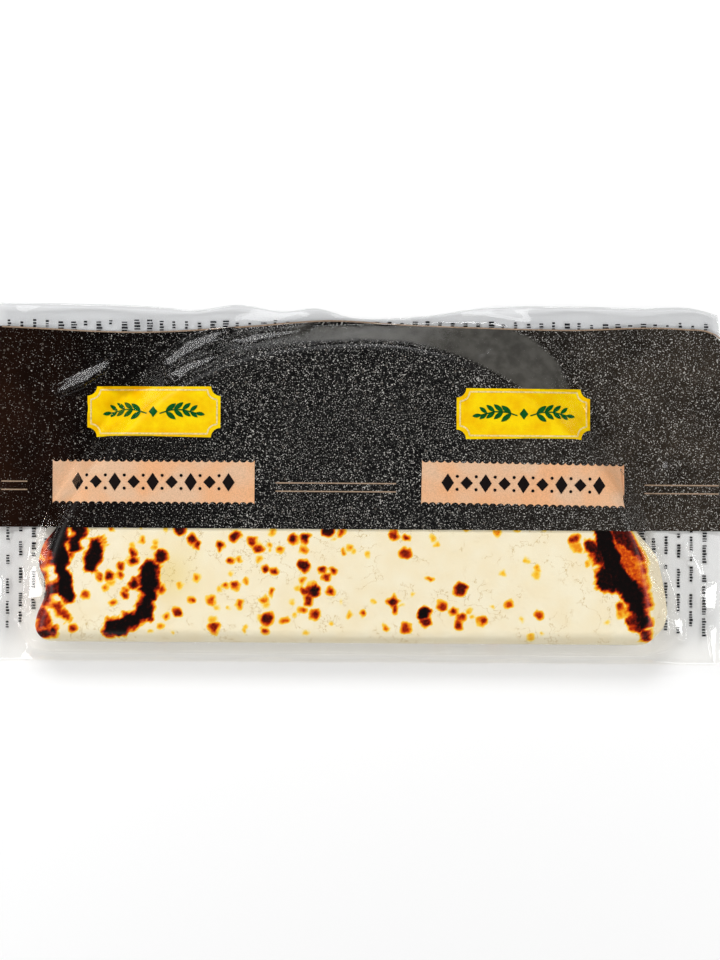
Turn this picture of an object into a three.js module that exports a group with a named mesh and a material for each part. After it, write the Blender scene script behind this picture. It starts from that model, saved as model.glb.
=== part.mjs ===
// A half-round bread cheese sealed in a clear pouch, lying flat with its shown side up.
// Millimetres, +Z up. The origin is the middle of the pouch's outline, on the surface it lies on.
// +X runs along the straight cut of the cheese, and +Y from the cut to its round side.
import * as THREE from "three";

// Cheese: half of a flat round loaf
const CHEESE_RADIUS = 106;
const CHEESE_THICKNESS = 12;
const CHEESE_X = -4.5; // centre of the round side
const CUT_Y = -54.4; // line of the straight cut
const CORNER_RADIUS = 6; // in plan, where the cut meets the round side
const EDGE_RADIUS = 5; // of the upper edge, pressed round by the film
const DENTS = [
  // Where the round side is pressed in, by the angle about its centre
  { angle: 93, spread: 16, depth: 2.4 },
  { angle: 145, spread: 9, depth: 0.8 },
  { angle: 171, spread: 3.5, depth: 2.4 },
];
const TOP_RELIEF = 0.35; // how far the baked top swells and sinks
const TOP_SWELL_X = 27;
const TOP_SWELL_Y = 19;

// Pouch: an upper film drawn tight over the cheese and pressed to a flat lower film around it
const POUCH_LENGTH = 246;
const POUCH_WIDTH = 121.5;
const FILM = 0.25;
const SEAM = 2 * FILM;
const REACH_CUT = 3.2; // how far out from the cheese the film comes down, along the cut
const REACH_ROUND = 4.4; // and along the round side
const TENTS = [
  // Where the film spans the corner further out, by the angle about the round side's centre
  { angle: 5, spread: 9, extra: 3 },
  { angle: 60, spread: 13, extra: 12 },
  { angle: 119, spread: 13, extra: 6 },
  { angle: 171, spread: 7, extra: 2 },
];

// Edges of the pouch: how far each is drawn in, and how far the loose rim lifts off the table
const TOP_DIP = { depth: 4.4, x: 10, spread: 26 };
const TOP_RIPPLE = { depth: 0.7, length: 33, phase: 1.1 };
const CORNER_PULL = { depth: 2.2, spread: 12 };
const LIFT = 2.2;
const LIFT_LENGTH_X = 41;
const LIFT_LENGTH_Y = 57;
const EDGE_FADE = 4; // powers by which an edge's own shape dies away
const END_FADE = 8;

// Fineness of the surface
const STEPS_AROUND = 168;
const TOP_RINGS = [0.3, 0.6, 0.85]; // shares of the way from the hub to the edge rounding
const EDGE_STEPS = 4;
const SLOPE_STEPS = 3;
const RIM_RINGS = [0.12, 0.3, 0.5, 0.7, 0.87, 1]; // shares of the way from the slope's foot to the rim
const FLAT_RIM_RINGS = [0.3, 0.7, 1]; // the same on the underside

// Middle of the cheese, from which the surface is laid out, and half sizes of the pouch
const HUB_SHARE = 0.4;
const HUB = new THREE.Vector2(CHEESE_X, CUT_Y + HUB_SHARE * CHEESE_RADIUS);
const HALF_LENGTH = POUCH_LENGTH / 2;
const HALF_WIDTH = POUCH_WIDTH / 2;

const bell = (distance, spread) => Math.exp(-((distance / spread) ** 2));

// Plan outline of the cheese, counter-clockwise from the left end of the cut
function cheeseOutline() {
  const inset = CHEESE_RADIUS - CORNER_RADIUS;
  const reach = Math.sqrt(inset ** 2 - CORNER_RADIUS ** 2);
  const meets = Math.asin(CORNER_RADIUS / inset);
  const cornerY = CUT_Y + CORNER_RADIUS;
  const path = new THREE.Path();
  path.moveTo(CHEESE_X - reach, CUT_Y);
  path.lineTo(CHEESE_X + reach, CUT_Y);
  path.absarc(CHEESE_X + reach, cornerY, CORNER_RADIUS, -Math.PI / 2, meets, false);
  path.absarc(CHEESE_X, CUT_Y, CHEESE_RADIUS, meets, Math.PI - meets, false);
  path.absarc(CHEESE_X - reach, cornerY, CORNER_RADIUS, Math.PI - meets, 1.5 * Math.PI, false);
  return path;
}

// Angle of a point about the centre of the round side, in degrees
const roundAngle = (point) =>
  THREE.MathUtils.radToDeg(Math.atan2(Math.max(point.y - CUT_Y, 0), point.x - CHEESE_X));

// Sum of bells at the given angles, each of the height that the named value gives
const bellsAt = (angle, list, value) =>
  list.reduce((sum, item) => sum + item[value] * bell(angle - item.angle, item.spread), 0);

// How far out from the cheese the film comes down, changing over where the outline turns off the cut
function filmReach(angle, offCut) {
  return THREE.MathUtils.lerp(REACH_CUT, REACH_ROUND + bellsAt(angle, TENTS, "extra"), offCut);
}

// Stations round the outline: the point, its outward normal, the film's reach and the rim beyond it
function stations() {
  const path = cheeseOutline();
  const list = [];
  for (let i = 0; i < STEPS_AROUND; i++) {
    const share = i / STEPS_AROUND;
    const point = path.getPoint(share);
    const tangent = path.getTangent(share);
    const normal = new THREE.Vector2(tangent.y, -tangent.x);
    const angle = roundAngle(point);
    const offCut = THREE.MathUtils.smoothstep(normal.y, -1, 0);
    point.addScaledVector(normal, -offCut * bellsAt(angle, DENTS, "depth"));
    list.push({ point, normal, reach: filmReach(angle, offCut), rim: rimPoint(point) });
  }
  squareCorners(list);
  list.forEach((station) => drawIn(station.rim));
  return list;
}

// Where the line from the hub through a point meets the flat rectangle of the pouch
function rimPoint(point) {
  const way = point.clone().sub(HUB);
  const toSide = (Math.sign(way.x) * HALF_LENGTH - HUB.x) / way.x;
  const toEdge = (Math.sign(way.y) * HALF_WIDTH - HUB.y) / way.y;
  return HUB.clone().addScaledVector(way, Math.min(toSide, toEdge));
}

// Moves the nearest rim point onto each corner of the rectangle
function squareCorners(list) {
  for (const x of [-HALF_LENGTH, HALF_LENGTH]) {
    for (const y of [-HALF_WIDTH, HALF_WIDTH]) {
      const corner = new THREE.Vector2(x, y);
      const away = (station) => station.rim.distanceTo(corner);
      list.reduce((best, station) => (away(station) < away(best) ? station : best)).rim.copy(corner);
    }
  }
}

// Draws a point of the rectangle in to the pouch's uneven edge
function drawIn(rim) {
  const upward = (rim.y / HALF_WIDTH + 1) / 2;
  const dip = TOP_DIP.depth * bell(rim.x - TOP_DIP.x, TOP_DIP.spread);
  const turn = (2 * Math.PI * rim.x) / TOP_RIPPLE.length + TOP_RIPPLE.phase;
  const ripple = TOP_RIPPLE.depth * (1 - Math.sin(turn)) * (1 - (rim.x / HALF_LENGTH) ** EDGE_FADE);
  const fromTop = HALF_WIDTH - rim.y;
  const pull = CORNER_PULL.depth * bell(fromTop, CORNER_PULL.spread) * (rim.x / HALF_LENGTH) ** END_FADE;
  rim.y -= (dip + ripple) * upward ** EDGE_FADE;
  rim.x -= Math.sign(rim.x) * pull;
}

const topSwell = (x, y) => TOP_RELIEF * Math.sin(x / TOP_SWELL_X + 1) * Math.cos(y / TOP_SWELL_Y);

// How far the loose rim stands off the table, share being 0 at the slope's foot and 1 at the edge
function rimLift(x, y, share) {
  const along = Math.sin((2 * Math.PI * x) / LIFT_LENGTH_X) + Math.cos((2 * Math.PI * y) / LIFT_LENGTH_Y);
  return (LIFT * share ** 2 * (2 + along)) / 4;
}

// Section of the tight film: round over the cheese's edge, then straight to the slope's foot.
// Its points are [outward distance, height], from the top of the rounding to the foot.
function filmSection(reach) {
  const radius = EDGE_RADIUS + FILM;
  const centre = new THREE.Vector2(-EDGE_RADIUS, CHEESE_THICKNESS - EDGE_RADIUS);
  const foot = new THREE.Vector2(reach, SEAM);
  const way = foot.clone().sub(centre);
  const leaves = Math.acos(radius / way.length()) + Math.atan2(way.y, way.x);
  const section = [];
  for (let i = 0; i <= EDGE_STEPS; i++) {
    const angle = THREE.MathUtils.lerp(Math.PI / 2, leaves, i / EDGE_STEPS);
    section.push([centre.x + radius * Math.cos(angle), centre.y + radius * Math.sin(angle)]);
  }
  const [startOut, startHeight] = section[EDGE_STEPS];
  for (let i = 1; i <= SLOPE_STEPS; i++) {
    const share = i / SLOPE_STEPS;
    section.push([
      THREE.MathUtils.lerp(startOut, foot.x, share),
      THREE.MathUtils.lerp(startHeight, foot.y, share),
    ]);
  }
  return section;
}

// One station's line of the upper film, from near the hub to the rim
function upperLine({ point, normal, reach, rim }) {
  const section = filmSection(reach);
  const at = (out) => point.clone().addScaledVector(normal, out);
  const shoulder = at(section[0][0]);
  const line = TOP_RINGS.map((share) => {
    const p = HUB.clone().lerp(shoulder, share);
    return [p.x, p.y, section[0][1] + topSwell(p.x, p.y)];
  });
  section.forEach(([out, height], i) => {
    const p = at(out);
    const swell = topSwell(p.x, p.y) * Math.max(1 - i / EDGE_STEPS, 0);
    line.push([p.x, p.y, height + swell]);
  });
  const foot = at(reach);
  RIM_RINGS.forEach((share) => {
    const p = foot.clone().lerp(rim, share);
    line.push([p.x, p.y, SEAM + rimLift(p.x, p.y, share)]);
  });
  return line;
}

// The same station's line of the lower film, from the slope's foot to the rim
function lowerLine({ point, normal, reach, rim }) {
  const foot = point.clone().addScaledVector(normal, reach);
  const line = [[foot.x, foot.y, 0]];
  FLAT_RIM_RINGS.forEach((share) => {
    const p = foot.clone().lerp(rim, share);
    line.push([p.x, p.y, rimLift(p.x, p.y, share)]);
  });
  return line;
}

// Closed surface: a fan at the hub, rings outward over the top, the rim, and rings back underneath
function pouchGeometry() {
  const around = stations();
  const lines = around.map((station) => [...upperLine(station), ...lowerLine(station).reverse()]);
  const rings = lines[0].length;
  const topHub = [HUB.x, HUB.y, CHEESE_THICKNESS + FILM + topSwell(HUB.x, HUB.y)];
  const positions = [...topHub, HUB.x, HUB.y, 0, ...lines.flat(2)];
  const vertex = (station, ring) => 2 + (station % STEPS_AROUND) * rings + ring;
  const triangles = [];
  for (let i = 0; i < STEPS_AROUND; i++) {
    triangles.push(0, vertex(i, 0), vertex(i + 1, 0));
    for (let ring = 0; ring < rings - 1; ring++) {
      const [a, b] = [vertex(i, ring), vertex(i + 1, ring)];
      const [c, d] = [vertex(i + 1, ring + 1), vertex(i, ring + 1)];
      triangles.push(a, d, c, a, c, b);
    }
    triangles.push(1, vertex(i + 1, rings - 1), vertex(i, rings - 1));
  }
  const geometry = new THREE.BufferGeometry();
  geometry.setAttribute("position", new THREE.Float32BufferAttribute(positions, 3));
  geometry.setIndex(triangles);
  geometry.computeVertexNormals();
  return geometry;
}

const filmMaterial = new THREE.MeshStandardMaterial({ color: 0xf0e6cc, roughness: 0.25, metalness: 0 });
const pouch = new THREE.Mesh(pouchGeometry(), filmMaterial);
pouch.name = "pouch";

const packedCheese = new THREE.Group();
packedCheese.add(pouch);

export default packedCheese;
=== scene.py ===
"""A half-round bread cheese in its clear printed pouch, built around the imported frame.

Lengths are millimetres until a mesh is made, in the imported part's own frame: +X runs along the cut of the
cheese, +Y from the cut to its round side, +Z up. Film, print and cheese are separate pieces on one body.
"""
import math

import bpy
import numpy as np
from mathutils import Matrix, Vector
from mathutils.geometry import delaunay_2d_cdt


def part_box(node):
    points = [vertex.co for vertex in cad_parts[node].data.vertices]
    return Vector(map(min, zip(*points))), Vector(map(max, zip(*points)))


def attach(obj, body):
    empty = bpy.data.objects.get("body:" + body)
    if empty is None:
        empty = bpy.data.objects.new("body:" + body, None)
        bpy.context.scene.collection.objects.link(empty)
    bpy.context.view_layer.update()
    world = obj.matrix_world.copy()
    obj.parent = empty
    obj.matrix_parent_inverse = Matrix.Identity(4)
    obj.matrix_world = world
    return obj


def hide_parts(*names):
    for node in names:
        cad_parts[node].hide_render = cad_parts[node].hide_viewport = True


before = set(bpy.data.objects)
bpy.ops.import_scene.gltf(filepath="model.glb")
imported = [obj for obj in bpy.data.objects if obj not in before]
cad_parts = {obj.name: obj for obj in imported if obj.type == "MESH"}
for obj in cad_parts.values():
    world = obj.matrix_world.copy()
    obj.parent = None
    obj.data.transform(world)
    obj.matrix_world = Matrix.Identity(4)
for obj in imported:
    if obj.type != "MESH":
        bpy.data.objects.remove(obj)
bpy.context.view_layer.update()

# Pouch, from the frame
MM = 0.001
_, POUCH_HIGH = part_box("pouch")
HALF_LENGTH = POUCH_HIGH.x / MM
HALF_WIDTH = POUCH_HIGH.y / MM
FILM = 0.25
SEAM = 2 * FILM

# Cheese, as in the part's source: angles are about the centre of the round side, in degrees
TOP_RELIEF = 0.35
TOP_SWELL_X = 27
TOP_SWELL_Y = 19
THICKNESS = POUCH_HIGH.z / MM - FILM - TOP_RELIEF
CHEESE_RADIUS = 106
CHEESE_X = -4.5
CUT_Y = -54.4
CORNER_RADIUS = 6
EDGE_RADIUS = 5
UNDER_RADIUS = 2
CLEARANCE = 0.5  # the cheese is drawn this much inside the part's shape, so that print fits under the film
CHEESE_BASE = 0.4
FLAT_TOP_ANGLE = 82  # the round side is drawn straight across beyond this angle
SHOWN_DEPTH = 42  # how far from the cut the cheese shows under the clear film
SHOWN_ROWS = 96
HIDDEN_ROWS = 41
MIDDLE_COLUMNS = 481
DENTS = [(93, 16, 2.4), (145, 9, 0.8), (171, 3.5, 2.4)]  # angle, spread, depth
# Where the side of the cheese slopes out: its end, angles over which the slope comes and goes, and its size
FOOT_SPREAD = [(1, (0, 6), (15, 22), 4.0), (-1, (11, 15), (17, 22), 2.4)]
UNDER_FILM = 0.8  # least depth of the cheese below the film's upper surface
DENT_FADE = 8  # power by which a dent dies away towards the middle
CORNER_ANGLES = [0, 15, 30, 45]  # of the first rows of points, round the corners in plan
FIRST_SHOWN = 2.2  # distance of the next row from the cut
ROW_GAP = 0.5  # angle between the last shown row and the first hidden one
END_COLUMNS = [0, 0.12, 0.45, 1.0, 1.7, 2.6, 3.7]  # distances in from the ends of a row
PITS = [(41, 5.0, 1.0), (42, 2.2, 0.6)]  # seed, wavelength, size
PIT_DEPTH = 0.06  # for a size of 1
PIT_TOP = 0.6  # size at which the pitted surface is cut off flat

# Film: how far out from the cheese it comes down, and where it spans further (angle, spread, extra)
REACH_CUT = 3.2
REACH_ROUND = 4.4
TENTS = [(5, 9, 3), (60, 13, 12), (119, 13, 6), (171, 7, 2)]
FOOT_SOFTNESS = 0.5
RIM_LIFT = 2.2
LIFT_LENGTH_X = 41
LIFT_LENGTH_Y = 57
LIFT_BAND = 16
CORNER_PULL = 2.2
CORNER_SPREAD = 12
CRINKLES = [(11, 15, 0.35), (12, 6.5, 0.08)]  # seed, wavelength, height
DEEPEST_CRINKLE = 0.1
CRINKLE_FROM = 3  # crinkles and folds come in over this distance out from the cheese
LIFT_FROM = 6  # the rim's lift comes in over this distance past the slope's foot
CORNER_FADE = 8  # power by which the corner's pull dies away along the pouch
FOLD_SHARPNESS = 1.5  # power of a fold's section

RIPPLE_LENGTHS = (0.7, 1.5)  # of the waves in an uneven field, against its wavelength

# Fineness of the film's mesh
END_START = 92  # beyond this distance from the middle the film is finer
FINE = 0.36
COARSE = 0.76
WINDOW_ROWS = 76
BAND_ROWS = 88
TOP_ROWS = 10

# Lines across the pouch, as points (x, y): its upper edge, and the print's upper and lower edges
TOP_EDGE = [
    (-123, 60.7), (-101, 60.6), (-71, 59.8), (-56, 58.7), (-42, 60.5), (-25, 58.4), (-16, 59.5), (-3, 56.4),
    (12, 56.3), (27, 57.8), (37, 59.5), (68, 60.7), (95, 60.2), (115, 60.0), (123, 58.0),
]
BAND_TOP = [
    (-123, 53.0), (-71, 51.4), (-37, 53.6), (-10, 55.6), (13, 54.4), (41, 53.4), (68, 52.9), (110, 53.4),
    (118, 52.6), (121.5, 50.8), (123, 49.0),
]
BAND_LOW = -15.3

# Creases and folds of the loose film: points (x, y), then half width and height
FOLDS = [
    ([(-102.3, -5.8), (-105, -10.2), (-106.7, -15.3)], 0.6, 0.7),
    ([(-102.3, -14.9), (-104.3, -19.7), (-106.7, -23.7), (-109.4, -27.5)], 0.5, 0.5),
    ([(-114.1, -27), (-113.1, -33.3), (-113.1, -42)], 0.6, 0.7),
    ([(-118.2, -46.2), (-114.8, -45.8), (-112.4, -48.8), (-111.8, -53.6), (-112.4, -59)], 0.9, 1),
    ([(-111.4, -20.4), (-112.1, -27)], 0.6, 0.5),
    ([(92, 33), (100, 27), (110, 24)], 2, 0.7),
    ([(113, 21), (104, 9), (94, 1)], 1.6, 0.8),
    ([(113.5, 54), (118, 40), (121, 26)], 1.2, 0.7),
]

# Flat facets of the loose film that catch a light: outline (x, y), azimuth faced, tilt, height of the middle
SIDE_TILT = math.radians(24.5)
BACK_TILT = math.radians(26.5)
FACET_EDGE = 0.45
FACETS = [
    ([(-112.4, -29.5), (-109.4, -27.5), (-108, -31.9), (-106.4, -36.6), (-106.4, -39.3), (-112.8, -40.4)],
     180, SIDE_TILT, 4),
    ([(-122.5, -31.6), (-120.6, -32.6), (-120.9, -40.1), (-122.5, -41.8)], 180, SIDE_TILT, 1.6),
    ([(98.2, -18.3), (99.6, -16.6), (101.6, -20.3), (98.9, -20)], 0, SIDE_TILT, 5),
    ([(111.4, -19.9), (112.4, -20.3), (116.5, -27.7), (116.9, -29.4), (115.8, -31.1), (112.4, -25)],
     0, SIDE_TILT, 2),
    ([(116.5, -34.5), (121.9, -31.7), (122.6, -41.9), (117.2, -41.9), (116.2, -38.5)], 0, SIDE_TILT, 2),
    ([(106, -44.7), (109.1, -44.3), (110.4, -45.3), (110.8, -52.1), (109.1, -51.4), (107, -48.7)],
     0, SIDE_TILT, 2.4),
    ([(118.5, -48.7), (120.6, -47.3), (122.6, -48), (122.6, -60), (119.9, -59.8), (119.2, -55.4)],
     0, SIDE_TILT, 1.8),
    ([(-104.5, 31.5), (-96.2, 38), (-84.5, 43.2), (-85.5, 38.6), (-93.6, 33), (-102.3, 29.6)],
     112, BACK_TILT, 1.5),
    ([(-68.6, 41.4), (-58.9, 49.3), (-49.9, 52.4), (-43.5, 52.2), (-54, 45.2), (-65.2, 39)],
     112, BACK_TILT, 3),
    ([(-67.2, 36.8), (-58.9, 41.8), (-45.9, 45), (-49.6, 40.6), (-63.1, 34.8)], 108, BACK_TILT, 8.2),
    ([(-44.6, 47.8), (-36.4, 51.9), (-17, 53.9), (-22.4, 50), (-31.4, 47.9), (-40.4, 46)],
     102, BACK_TILT, 4.4),
]

# Charred places of the shown side: heat, then a line of points (x, y, half width)
CHARS = [
    (1, [(-101.6, -16.3, 2.4), (-102.3, -21.3, 3), (-101.3, -26.1, 2.2), (-100.6, -29.1, 1.2)]),
    (0.95, [(-94.8, -16, 1.9), (-96.2, -21, 1.4), (-96.9, -23, 0.7)]),
    (0.5, [(-104.6, -15.5, 1.6), (-105.6, -19, 1.4), (-106.7, -23.4, 1.2)]),
    (0.75, [(-108.4, -26.8, 1), (-109.1, -29.8, 1), (-107.4, -32.5, 1)]),
    (1, [(-99.6, -31.5, 1.5), (-99.9, -35.2, 2.2), (-98.2, -38.9, 1.4)]),
    (0.8, [(-102.3, -35.6, 1.4), (-105.7, -37.3, 1.4), (-106.4, -40.7, 1.2)]),
    (0.98, [(-88.4, -21.2, 1.8), (-89.8, -25, 2.2), (-90.8, -28.7, 1.5)]),
    (0.7, [(-107.4, -44.4, 1.5), (-106.4, -47.8, 1.9)]),
    (0.85, [(-108.7, -52, 1.1), (-103, -50.5, 0.7)]),
    (0.65, [(-101.9, -42, 1), (-98.9, -46, 0.5)]),
    (1, [(-70.4, -28.6, 2.2), (-71.5, -33, 2.7), (-70.8, -36.7, 2.4)]),
    (0.98, [(-72.1, -39.8, 1.6), (-72.1, -43.5, 2.4), (-75.2, -45.2, 2), (-78.9, -48, 2.2),
            (-83.3, -49, 2.4)]),
    (1, [(81.6, -14.4, 2.7), (85.7, -27.2, 2.7), (88.4, -32.3, 3), (92.8, -36.3, 2.7), (93.8, -41.4, 2.7),
         (95.5, -45.8, 2)]),
    (0.78, [(96.9, -50, 1.4), (98.2, -52.3, 0.8)]),
    (0.85, [(78.6, -20.8, 1.7), (81.3, -24.5, 1.9)]),
    (0.95, [(82.6, -29.6, 1.9), (83, -32.6, 2.7), (86, -33.3, 2)]),
    (0.82, [(87.7, -14.7, 2.5), (88.7, -16.7, 2.5), (92.1, -20.1, 2), (94.8, -22.4, 1.7), (96.9, -25.1, 1)]),
    (0.45, [(92.8, -15.3, 2), (91.8, -27.2, 2.4), (93.8, -29.9, 2.4), (96.5, -33.6, 1.7)]),
    (0.7, [(94.8, -36, 2), (96.9, -40, 1.4)]),
    (0.72, [(92.1, -46.1, 1.4), (94.8, -47.8, 1.4)]),
    (0.5, [(85.6, -14.5, 1.6), (87.8, -19.5, 2.2), (90.2, -25, 2.4), (93, -31, 2.2), (96, -37, 1.2)]),
    (0.55, [(-104.5, -24, 1.4), (-106.5, -28, 1.2)]),
]

# Toasted spots of the shown side: x, y, half width, heat
SPOTS = [
    (-97.5, -24.7, 1.2, 0.75), (-96.5, -49.4, 1.4, 0.72), (-88, -31.8, 1.2, 0.55), (-84.5, -31.4, 1.5, 0.82),
    (-80.4, -28.4, 1.4, 0.68), (-80.9, -31.2, 1.2, 0.68), (-85.6, -35.6, 1.3, 0.42),
    (-76.7, -23.8, 1.4, 0.76), (-76.3, -26.4, 1.5, 0.8), (-73.8, -19.5, 1, 0.5), (-67.2, -24.8, 2, 0.85),
    (-69, -22, 1, 0.42), (-76.2, -34, 1.7, 0.84), (-79.3, -38.1, 1.3, 0.74), (-78.6, -36.2, 0.9, 0.7),
    (-92.5, -38, 1.5, 0.55), (-83.4, -40.5, 1.2, 0.48), (-66.9, -36, 1.4, 0.6), (-67.1, -48.2, 1.2, 0.5),
    (-65, -44.8, 1, 0.5), (-61.3, -43.8, 1.5, 0.76), (-56.6, -39.3, 0.9, 0.62), (-55.2, -32.2, 1.4, 0.4),
    (-49.8, -39.6, 1.5, 0.5), (-48.8, -48.8, 1.9, 0.68), (-83.7, -16, 1, 0.55), (-60.6, -15.6, 2, 0.85),
    (-56.6, -19, 1.7, 0.85), (-54.9, -20.6, 1.2, 0.8), (-47.1, -21, 1.6, 0.8), (-42, -17.9, 1.9, 0.8),
    (-43.4, -26, 1.2, 0.62), (-40.6, -25.7, 1, 0.42), (-36.2, -19.6, 1.6, 0.68), (-34.4, -22, 1.6, 0.7),
    (-30.5, -20.9, 0.9, 0.42), (-26.8, -22.2, 1, 0.55), (-22.4, -18.8, 1.7, 0.82), (-18.3, -18.4, 1.6, 0.84),
    (-19, -22.1, 1.3, 0.52), (-18.6, -27.6, 2, 0.84), (-32.2, -29, 1.4, 0.8), (-28.8, -29.7, 1.3, 0.74),
    (-12.5, -29.2, 1.4, 0.76), (-9.1, -29.5, 1.3, 0.72), (-11.2, -31.6, 1.1, 0.7), (-10.8, -15.7, 1.9, 0.9),
    (-6.2, -16.4, 1.2, 0.6), (-5.4, -23.1, 1, 0.55), (-3.2, -21.6, 0.9, 0.42), (11.5, -17.3, 1.8, 0.68),
    (15.6, -17.8, 1.3, 0.7), (15.6, -23.3, 1.8, 0.68), (24, -32, 1, 0.52), (-42, -34.5, 1.3, 0.62),
    (-45, -34.5, 1.1, 0.5), (-38.3, -33.4, 1.2, 0.42), (-29.5, -36.8, 1.1, 0.58), (-32.2, -39.2, 1.3, 0.46),
    (-40.3, -40.9, 1.4, 0.52), (-31.2, -45.6, 2.1, 0.8), (-31.8, -49.7, 1.4, 0.64), (-25.1, -46.2, 1.3, 0.5),
    (-19, -32.6, 1.3, 0.46), (-15.6, -36.3, 2.3, 0.88), (-18.4, -36.6, 1.6, 0.7), (-9.8, -36.3, 1.4, 0.7),
    (-17, -39.4, 1.5, 0.72), (-19, -42.5, 1.2, 0.56), (-15.2, -44.1, 1.7, 0.74), (1.4, -43.7, 1.3, 0.62),
    (11.5, -39.6, 2, 0.82), (12.2, -42.2, 1.2, 0.7), (8.8, -48.7, 1.2, 0.5), (15.6, -48.7, 1.5, 0.66),
    (22, -43.2, 2.2, 0.98), (22.6, -46.6, 1.9, 0.78), (27.8, -41.1, 1.8, 0.62), (31.8, -42.8, 1.3, 0.68),
    (34.2, -35, 2.2, 0.8), (34.6, -44.8, 1.6, 0.74), (33.6, -47.6, 1.5, 0.72), (41.7, -46.1, 1.6, 0.66),
    (50.5, -40.3, 1.3, 0.52), (60.6, -44, 1.6, 0.6), (72.5, -18.2, 1.8, 0.68), (77.2, -26.4, 1, 0.4),
    (88.1, -40.7, 1.5, 0.68), (88.1, -43.4, 1.4, 0.38), (96.2, -28.2, 1.7, 0.64), (-47.5, -35.8, 0.9, 0.36),
    (24.5, -18, 0.9, 0.36),
]
PALE_RIM_FROM = (80, 86)  # x over which the rim of the round side turns pale and free of spots
PALE_RIM_WIDTH = (0.8, 2.6)  # distances in from the round side over which the pale rim ends
CUT_FADE = (0.5, 2.5)  # distances from the cut over which browning comes in
YELLOW_PATCH = (-64, -31, 9)  # x, y, radius
SPOT_GLOW = (0.75, 0.9)  # width of the glow outside a spot's edge, and depth of full browning inside it
CHAR_GLOW = (1.8, 0.5)  # the same for the charred places
CHAR_RAGGED = [(71, 4.2, 0.36), (72, 1.7, 0.24)]  # seed, wavelength and size of the wander of their edges
SPOT_RAGGED = 0.4  # share of that wander at a spot's edge
WANDER = [(31, 6.0, 0.35), (32, 2.6, 0.14)]  # seed, wavelength and size of the shifts that bend them all
UNEVEN_HEAT = 0.56  # range of the heat within a browned place
WANDER_SEED_SHIFT = 50  # from the seeds along x to those along y

# Scattered spots: count, seed, most added to the least half width, range of heat
HIDDEN_SPOTS = (240, 7, 4, (0.4, 0.95))
FAINT_SPOTS = (190, 8, 1.2, (0.24, 0.4))
UNDER_SPOTS = (300, 9, 4, (0.35, 0.95))
HIDDEN_FROM = BAND_LOW + 2  # hidden spots lie above this line
SPOT_MARGIN = 2  # from the cheese's edge
LEAST_SPOT = 0.5
SPOT_SPREAD = (2, 4)  # of the sizes, as the two powers of a beta distribution

# Print: two labels a repeat apart, each a badge over a strip, with thin rules between them
REPEAT = 125.2
LABEL_X = (-70.0, -70.0 + REPEAT)
BADGE_Y = 24.0
BADGE_CENTRES = [(x, BADGE_Y) for x in LABEL_X]
BADGE_SIZE = (45.5, 17.2)
BADGE_NOTCH = 3.2
STRIP_Y = 0.3
STRIP_TURN = math.radians(-0.8)  # of the right-hand strip
STRIP_PLACES = [((LABEL_X[0], STRIP_Y), 0.0), ((LABEL_X[1], STRIP_Y), STRIP_TURN)]
STRIP_SIZE = (68.8, 14.9)
SCALLOPS = 27
SCALLOP_BITE = 0.8
SCALLOP_POWER = 0.7  # below 1 it widens the bites
RULE_START = -28.5
RULE_END = 12.2
RULE_Y = (0.2, -2.6)
RULE_WIDTH = 0.42

# Where the film is matte, clings to the cheese, stands off it (where the ink under it gets a painted sheen)
# or is greyer
PRINT_MATTE = 0.8  # how matte the film is over print, against where it clings to the cheese
MATTE_BLEND = 1  # distance over which the matte places end
MATTE_FROM = (-108, -103)  # the print's left end stays glossy, up to here
CLING_GAP = (0.35, 0.7)  # the film clings to the cheese below the first gap, and is loose above the second
# Gaps over which the ink gets its painted sheen where the print stands off
STANDOFF_GAP = (0.7, 1.2)
SPANNED_ANGLES = (44, 54, 92, 106)  # where the print stands off the cheese and its ink is painted lighter as a sheen: comes and goes over these angles
GREYER_FROM = (-58, -46)  # the film along the cut is clear, and greyer above it
SIDE_GREYING = 0.45  # greying of the sides, against that of the upper edge
TOP_GREYING_FROM = (36, 48)

# Motifs of the print
BADGE_INSET = 1.2  # of the pale line inside a badge's edge
BADGE_LINE = 0.5
SPRIG_LOZENGE = (1.5, 1.9)  # half width and half height
SPRIG_STEM = [(2.2, -0.6), (6, 0.6), (10, 0.7), (14.5, -0.5)]
STEM_WIDTH = 0.45
SPRIG_LEAVES = [(4.2, 0.1), (7.0, 0.7), (9.8, 0.7), (12.4, 0.2)]
LEAF_SIZE = (4.4, 1.7)
LEAF_SHRINK = (0.35, 0.12)  # of each leaf against the one before it
LEAF_POWER = 0.8  # below 1 it fills out a leaf's sides
LEAF_TURN = math.radians(38)
TIP_LEAF = (3.2, 1.3)
TIP_PLACE = (14.3, -0.4)
TIP_TURN = -0.15
MOTIF_PITCH = 6.4
MOTIFS_EACH_SIDE = 4
MOTIF_HALF_WIDTH = 2.1
MOTIF_HALF_HEIGHTS = (3.1, 2.2)  # taken in turn
DOT_SIZE = 1.1
DOT_Y = 2.2
RULE_MARGIN = 1.2
EDGE_LINE_DROP = 0.25  # of the thin line below the band's upper edge
EDGE_LINE_WIDTH = 0.45
EDGE_LINE_COLUMNS = slice(3, -3, 4)  # those of the film's columns that it is drawn through

# Inks, as read on screen
BADGE_LINE_INK = (252, 228, 150)
SPRIG_INK = (12, 92, 34)
MOTIF_INK = (24, 18, 18)
RULE_INK = (182, 156, 132)
BACK_INK = (44, 44, 47)

# Bars on the lower film
BACK_PRINT_SEED = 21
BACK_PRINT_RANGE = (-48, 54.8)  # y
BACK_PRINT_MARGIN = 3
BACK_PRINT_PITCH = 4.3
BAR_HEIGHTS = [1.2, 1.5, 2.1]
BAR_SHARES = (0.7, 1)  # of that height, from bar to bar
BAR_LENGTHS = (0.35, 0.75)
BAR_GAP = 0.35
WORD_GAPS = (0.8, 5)
WORD_BARS = (2, 8)

# Depths of the printed layers below the film's surface
BAND_DEPTH = 0.28
RULE_DEPTH = 0.17
STRIP_DEPTH = 0.17
MOTIF_DEPTH = 0.07
BACK_PRINT_RISE = 0.08

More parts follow.
